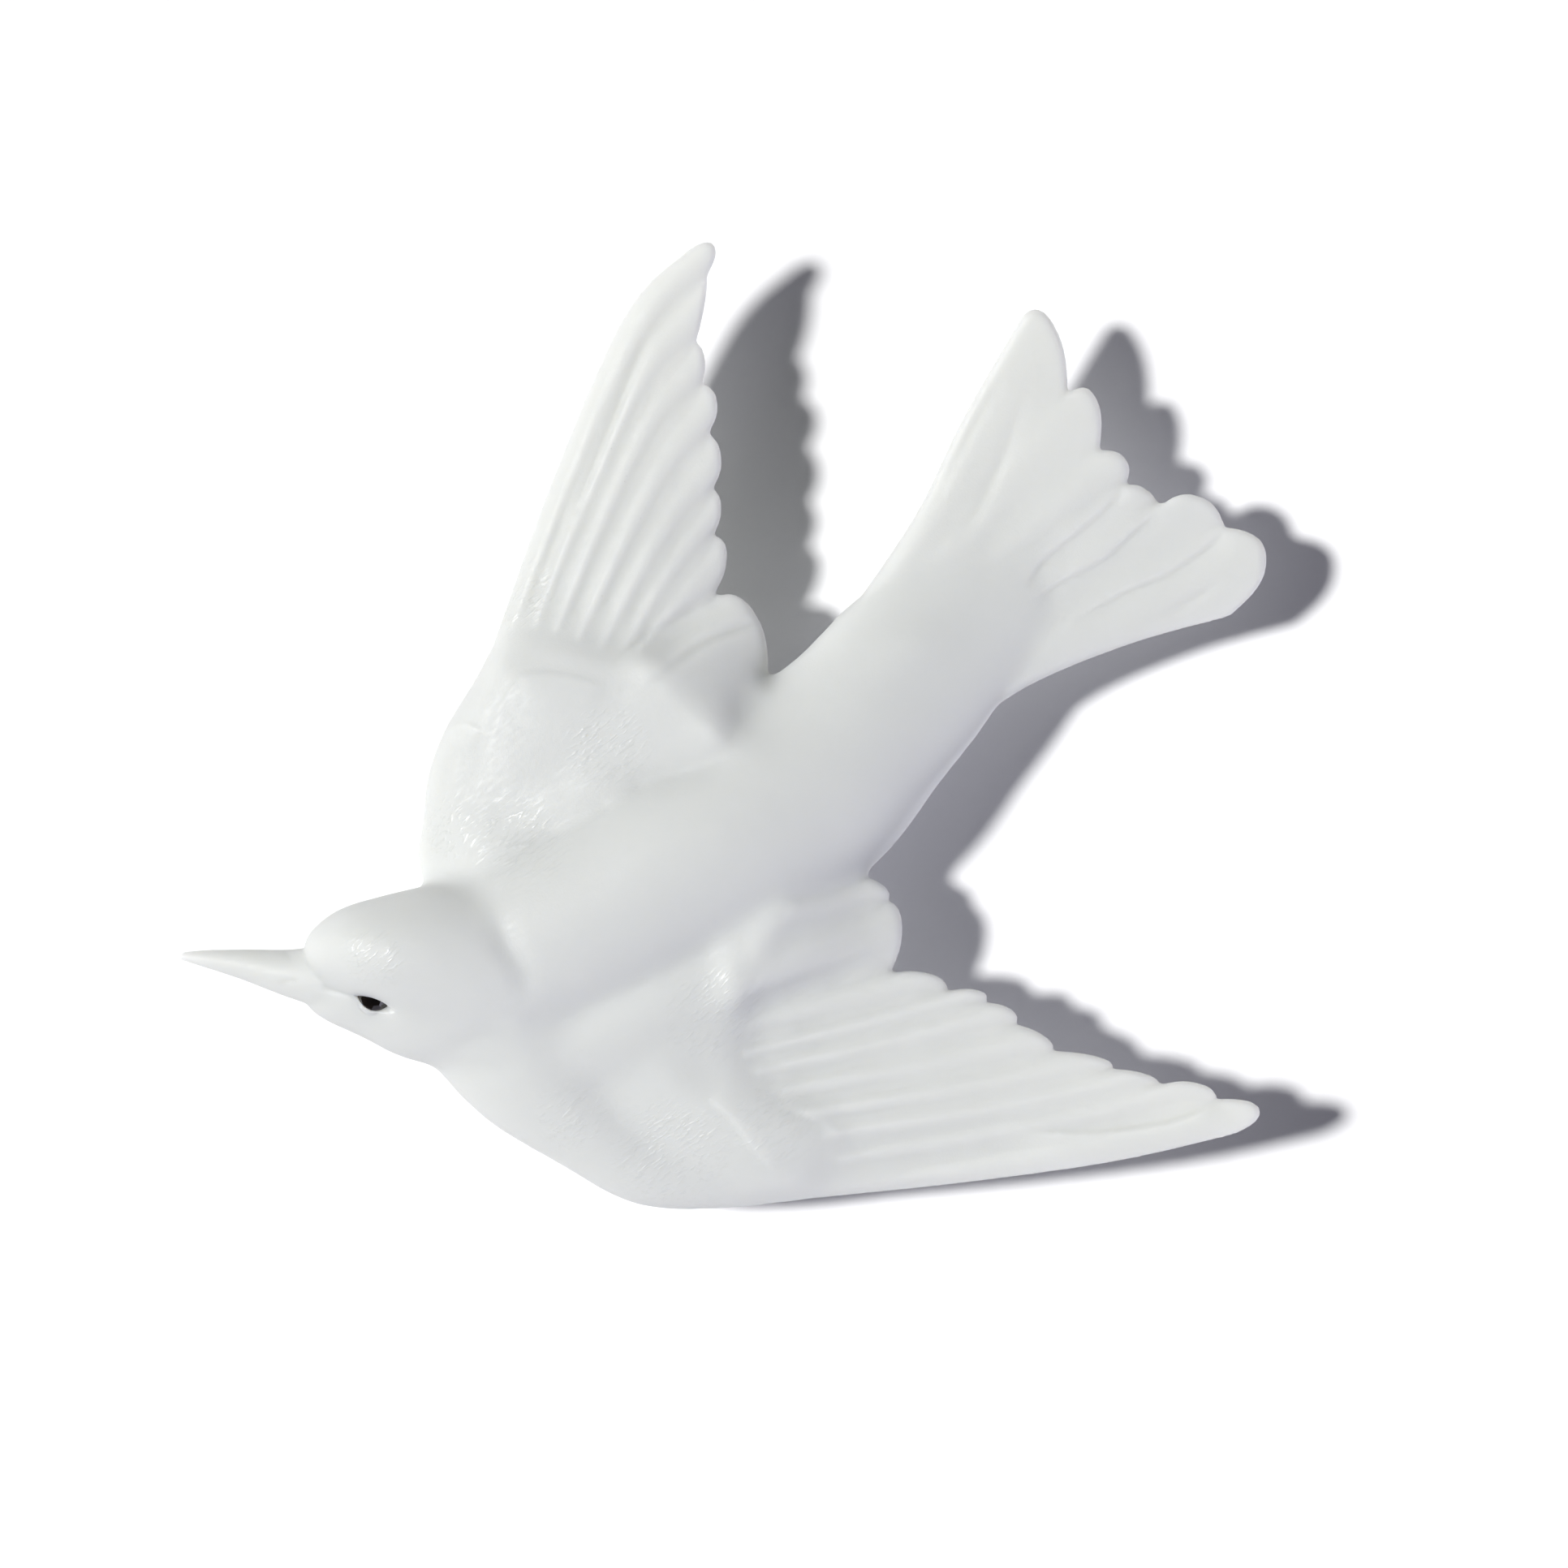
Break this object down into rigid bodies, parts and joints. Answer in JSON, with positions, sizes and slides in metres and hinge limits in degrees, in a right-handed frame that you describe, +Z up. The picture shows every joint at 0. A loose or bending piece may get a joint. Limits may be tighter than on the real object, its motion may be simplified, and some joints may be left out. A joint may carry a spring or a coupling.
{
  "type": "porcelain swallow figurine",
  "caption": "White bisque porcelain swallow in flight with spread fluted wings, a fanned tail, a long pointed beak and dark glass eyes, lying on its belly.",
  "frame": {"origin": "middle of the small flat on the belly that the bird lies on", "axes": "-Y the way the bird flies, its tail towards +Y; +Z up, out of its back; its right wing at -X and its left wing at +X"},
  "size_m": [0.1271, 0.1363, 0.0267],
  "materials": {
    "swallow": "satin",
    "eye_left": "gloss",
    "eye_right": "gloss"
  },
  "bodies": {
    "root": {"swallow": "swallow", "eye_left": "eye_left", "eye_right": "eye_right"}
  },
  "joints": []
}
